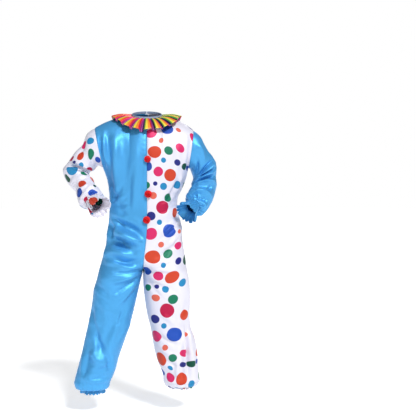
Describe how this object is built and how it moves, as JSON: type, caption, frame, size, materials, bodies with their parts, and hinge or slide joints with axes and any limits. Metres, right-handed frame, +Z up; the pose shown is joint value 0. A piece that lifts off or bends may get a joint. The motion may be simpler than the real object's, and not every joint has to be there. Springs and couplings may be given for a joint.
{
  "type": "clown costume jumpsuit",
  "caption": "Two-tone clown jumpsuit, worn open and empty: fluted rainbow collar, pompoms, frilled wrists and ankles.",
  "frame": {"origin": "middle of the neck opening, where the wearer's neck and shoulders carry the garment", "axes": "+Z up along the standing garment, the front faces -Y, +X to the wearer's left"},
  "size_m": [0.7831, 0.3421, 1.4367],
  "materials": {
    "blue_satin": "satin",
    "dotted_satin": "satin, printed with coloured dots",
    "rainbow_stripe": "satin, printed with rainbow stripes",
    "grey_binding": "matt binding",
    "red_yarn": "cut yarn",
    "zip_tape": "woven tape with coil teeth",
    "zip_metal": "plated"
  },
  "bodies": {
    "garment": {"front_right": "blue_satin", "back_right": "blue_satin", "front_left": "dotted_satin", "back_left": "dotted_satin", "sleeve_right": "dotted_satin", "sleeve_left": "blue_satin", "wrist_frill_right": "dotted_satin", "wrist_frill_left": "blue_satin", "ankle_frill_right": "blue_satin", "ankle_frill_left": "dotted_satin", "neck_band": "grey_binding", "collar_ruffle": "rainbow_stripe", "pompom_1": "red_yarn", "pompom_2": "red_yarn", "pompom_3": "red_yarn", "zip_tape": "zip_tape", "zip_slider": "zip_metal"},
    "pull": {"zip_pull": "zip_metal"}
  },
  "joints": [
    {"name": "zip_pull_flip", "type": "hinge", "parent": "garment", "child": "pull", "pos_m": [0, 0.08182, 0.01044], "axis": [1, 0, 0], "range_deg": [0, 140]}
  ]
}
